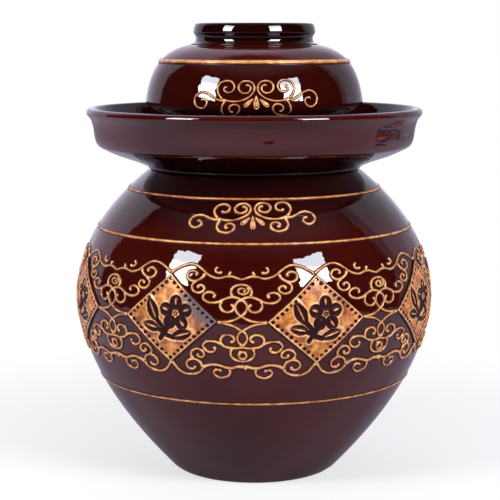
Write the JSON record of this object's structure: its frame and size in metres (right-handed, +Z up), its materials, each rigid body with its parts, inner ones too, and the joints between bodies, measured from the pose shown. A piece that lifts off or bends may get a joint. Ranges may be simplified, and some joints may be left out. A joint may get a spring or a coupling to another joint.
{
  "type": "water seal pickle jar",
  "caption": "Round-bellied glazed earthenware pickle jar with a water dish round its neck, a bowl-shaped lid standing in the dish and gilded relief round the belly.",
  "frame": {"origin": "centre of the foot, on the surface that the jar stands on", "axes": "+Z up along the jar's axis of turning, -Y towards the side with the scrolls on the shoulder and on the lid"},
  "size_m": [0.2426, 0.2426, 0.3022],
  "materials": {
    "glaze": "dark red-brown gloss glaze over earthenware",
    "gilding": "worn orange gold on raised slip, under a thin glaze"
  },
  "bodies": {
    "jar": {"jar_body": "glaze", "mouth_neck": "glaze", "water_dish": "glaze", "gilt_line_upper": "gilding", "gilt_line_shoulder": "gilding", "gilt_line_belly": "gilding", "diamond_plaques": "gilding", "belly_scrolls_upper": "gilding", "belly_scrolls_lower": "gilding", "shoulder_scrolls": "gilding"},
    "lid": {"lid_skirt": "glaze", "lid_bowl": "glaze", "lid_foot_ring": "glaze", "lid_gilt_line": "gilding", "lid_scrolls": "gilding"},
    "inner_lid": {"inner_lid": "glaze", "inner_lid_knob": "glaze"}
  },
  "joints": [
    {"name": "lid_lift", "type": "slide", "parent": "jar", "child": "lid", "axis": [0, 0, 1], "range_m": [0, 0.12]},
    {"name": "inner_lid_lift", "type": "slide", "parent": "jar", "child": "inner_lid", "axis": [0, 0, 1], "range_m": [0, 0.06]}
  ],
  "couplings": [
    {"joint": "inner_lid_lift", "follows": "lid_lift", "ratio": 0.5}
  ]
}
